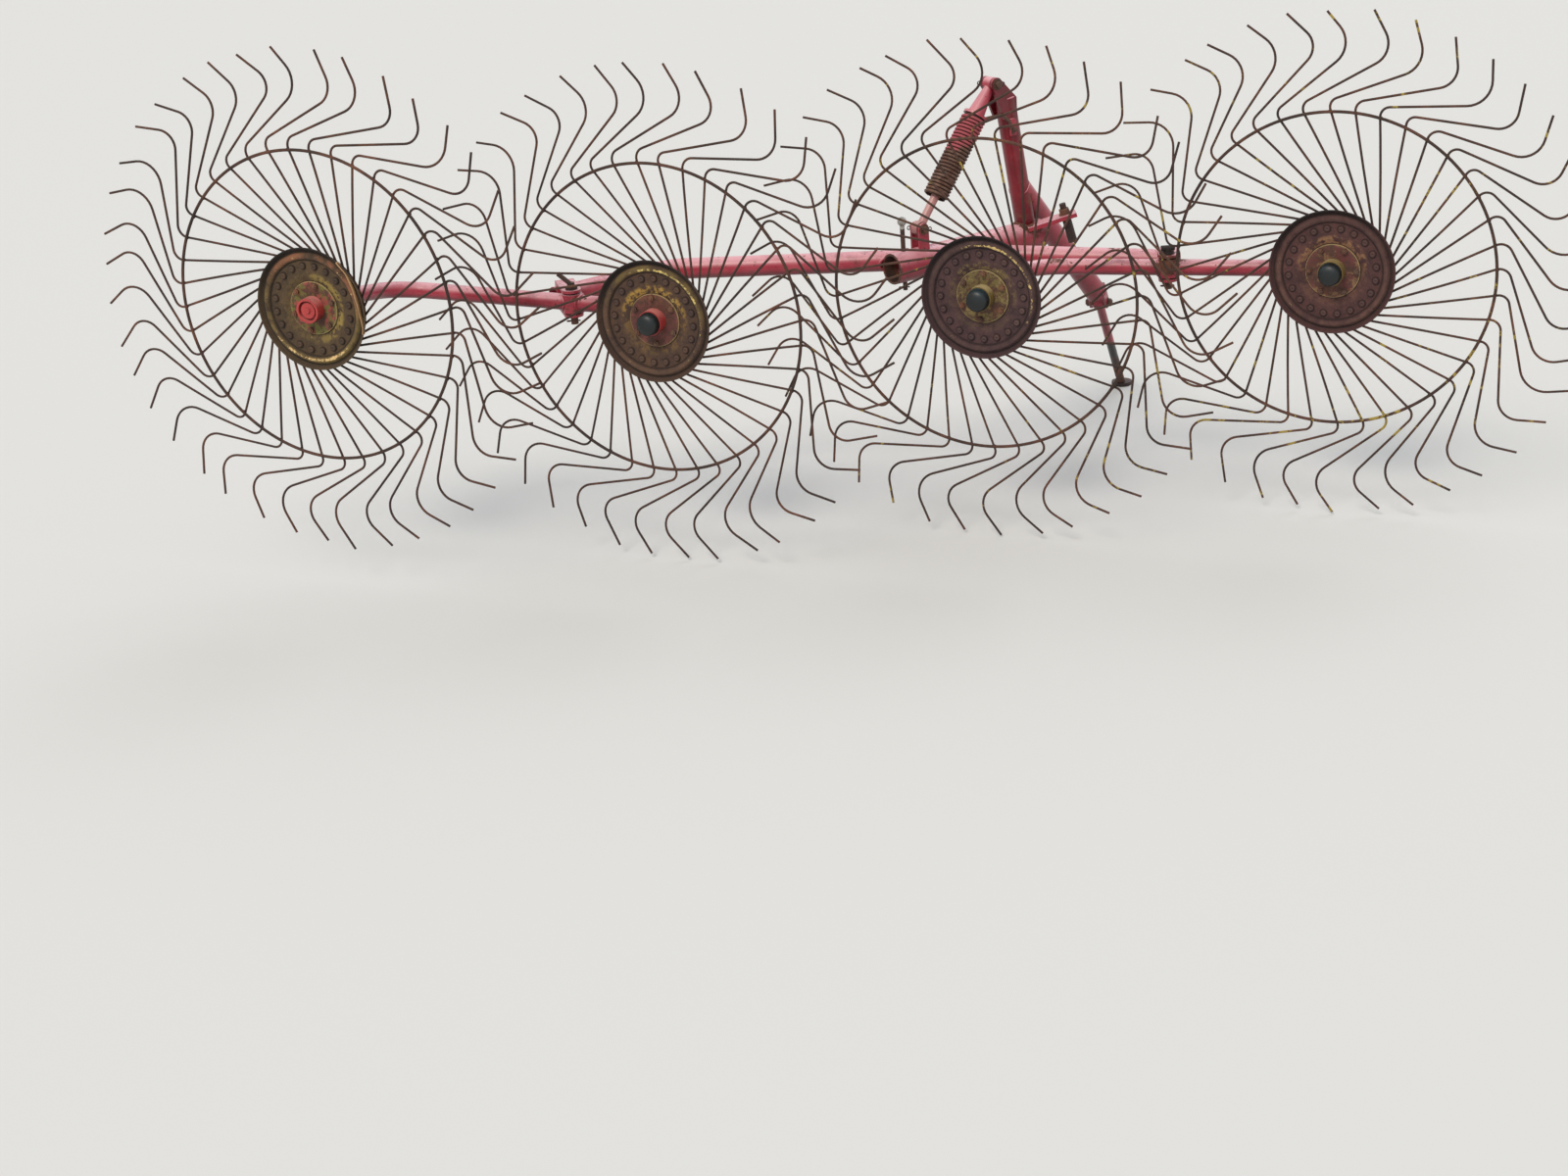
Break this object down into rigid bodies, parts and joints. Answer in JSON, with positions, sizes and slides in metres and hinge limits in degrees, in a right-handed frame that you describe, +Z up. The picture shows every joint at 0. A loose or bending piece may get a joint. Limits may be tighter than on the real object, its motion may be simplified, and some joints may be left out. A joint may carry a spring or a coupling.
{
  "type": "mounted wheel hay rake",
  "caption": "Mounted hay rake with raking wheels of curved wire tines on two swivelling carriers, a mast with a coil spring strut, and a folding stand leg.",
  "frame": {"origin": "middle of the bounding box, on the ground", "axes": "+X along the row of wheels, +Y from the raking side to the mast, +Z up"},
  "size_m": [4.2306, 1.7563, 1.5778],
  "materials": {
    "cap_black": "black, slightly glossy",
    "dark_steel": "black, dirty",
    "disc_maroon_rust": "brown rust with paint flakes",
    "disc_olive_rust": "olive paint worn through to rust",
    "frame_dark_red": "red paint, dirty",
    "frame_red": "faded red paint",
    "galvanised": "dull grey",
    "hub_red": "faded red paint",
    "hub_yellow_green": "faded yellow green paint",
    "spring_rust": "rust with red paint at the top",
    "tine_wire": "rust over remains of paint",
    "worn_steel": "rusty"
  },
  "bodies": {
    "frame": {"left_bracket": "frame_red", "right_bracket": "frame_red", "left_swivel_pin": "dark_steel", "right_swivel_pin": "dark_steel", "left_beam": "frame_red", "right_beam": "frame_red", "main_socket_tube": "frame_red", "socket_pin": "galvanised", "spring_ears": "frame_red", "spring_pin": "worn_steel", "spring_rod": "frame_red", "spring_coil": "spring_rust", "spring_yoke": "frame_red", "mast": "frame_dark_red", "mast_pin": "worn_steel", "strut": "frame_red", "stand_ears": "frame_red", "stand_bolt": "worn_steel", "hitch_plate": "frame_red", "hitch_pin": "worn_steel"},
    "left_gang": {"left_carrier": "frame_red", "axle_1": "worn_steel", "axle_2": "worn_steel", "axle_1_nut": "worn_steel"},
    "right_gang": {"right_carrier": "frame_red", "axle_3": "worn_steel", "axle_4": "worn_steel"},
    "stand": {"stand_leg": "frame_dark_red", "stand_foot": "dark_steel"},
    "wheel_1": {"wheel_1_tines": "tine_wire", "wheel_1_disc": "disc_olive_rust", "wheel_1_back_plate": "disc_maroon_rust", "wheel_1_hub": "hub_red"},
    "wheel_2": {"wheel_2_tines": "tine_wire", "wheel_2_disc": "disc_olive_rust", "wheel_2_back_plate": "disc_maroon_rust", "wheel_2_hub": "hub_red", "wheel_2_cap": "cap_black"},
    "wheel_3": {"wheel_3_tines": "tine_wire", "wheel_3_disc": "disc_maroon_rust", "wheel_3_back_plate": "disc_maroon_rust", "wheel_3_hub": "hub_yellow_green", "wheel_3_cap": "cap_black"},
    "wheel_4": {"wheel_4_tines": "tine_wire", "wheel_4_disc": "disc_maroon_rust", "wheel_4_back_plate": "disc_maroon_rust", "wheel_4_hub": "hub_yellow_green", "wheel_4_cap": "cap_black"}
  },
  "joints": [
    {"name": "wheel_1_spin", "type": "hinge", "parent": "left_gang", "child": "wheel_1", "pos_m": [-1.4435, -0.57663, 0.842], "axis": [-0.4067, -0.9135, 0], "continuous": true},
    {"name": "wheel_2_spin", "type": "hinge", "parent": "left_gang", "child": "wheel_2", "pos_m": [-0.4835, -0.57663, 0.734], "axis": [-0.4067, -0.9135, 0], "continuous": true},
    {"name": "wheel_3_spin", "type": "hinge", "parent": "right_gang", "child": "wheel_3", "pos_m": [0.4505, -0.57663, 0.734], "axis": [-0.4067, -0.9135, 0], "continuous": true},
    {"name": "wheel_4_spin", "type": "hinge", "parent": "right_gang", "child": "wheel_4", "pos_m": [1.4435, -0.57663, 0.734], "axis": [-0.4067, -0.9135, 0], "continuous": true},
    {"name": "left_gang_swivel", "type": "hinge", "parent": "frame", "child": "left_gang", "pos_m": [-0.73457, -0.3866, 0.75183], "axis": [0, 0, 1], "range_deg": [-15, 8]},
    {"name": "right_gang_swivel", "type": "hinge", "parent": "frame", "child": "right_gang", "pos_m": [1.01507, -0.32275, 0.71073], "axis": [0, 0, 1], "range_deg": [-5, 8]},
    {"name": "stand_swing", "type": "hinge", "parent": "frame", "child": "stand", "pos_m": [0.91331, 0.49421, 0.396], "axis": [-0.9484, 0.317, 0], "range_deg": [0, 120]}
  ]
}
